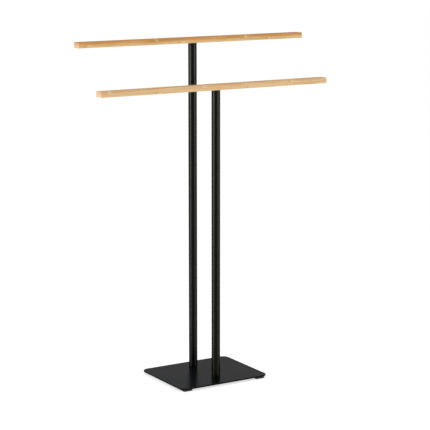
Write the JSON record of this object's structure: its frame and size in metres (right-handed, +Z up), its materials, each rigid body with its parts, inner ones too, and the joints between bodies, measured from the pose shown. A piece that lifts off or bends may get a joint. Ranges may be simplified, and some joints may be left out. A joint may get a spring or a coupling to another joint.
{
  "type": "towel stand",
  "caption": "Free-standing towel stand with bamboo towel bars at two heights, each on a black steel post bolted to a flat base plate with rubber feet.",
  "frame": {"origin": "on the floor under the middle of the base plate", "axes": "+X along the bars, to the right as seen from the front; +Y to the back, where the taller post stands; +Z up"},
  "size_m": [0.6, 0.194, 0.8],
  "materials": {
    "black_coat": "satin black powder coat",
    "bamboo": "clear-lacquered natural bamboo",
    "black_rubber": "matte",
    "zinc_steel": "zinc plated",
    "brass": "plain turned"
  },
  "bodies": {
    "root": {"base_plate": "black_coat", "foot_front_left": "black_rubber", "foot_front_right": "black_rubber", "foot_back_left": "black_rubber", "foot_back_right": "black_rubber", "back_post": "black_coat", "back_post_lower_plug": "zinc_steel", "back_post_upper_plug": "zinc_steel", "back_base_bolt": "zinc_steel", "back_base_washer": "zinc_steel", "back_bar_stud": "zinc_steel", "back_bar_insert": "brass", "back_bar": "bamboo", "front_post": "black_coat", "front_post_lower_plug": "zinc_steel", "front_post_upper_plug": "zinc_steel", "front_base_bolt": "zinc_steel", "front_base_washer": "zinc_steel", "front_bar_stud": "zinc_steel", "front_bar_insert": "brass", "front_bar": "bamboo"}
  },
  "joints": []
}
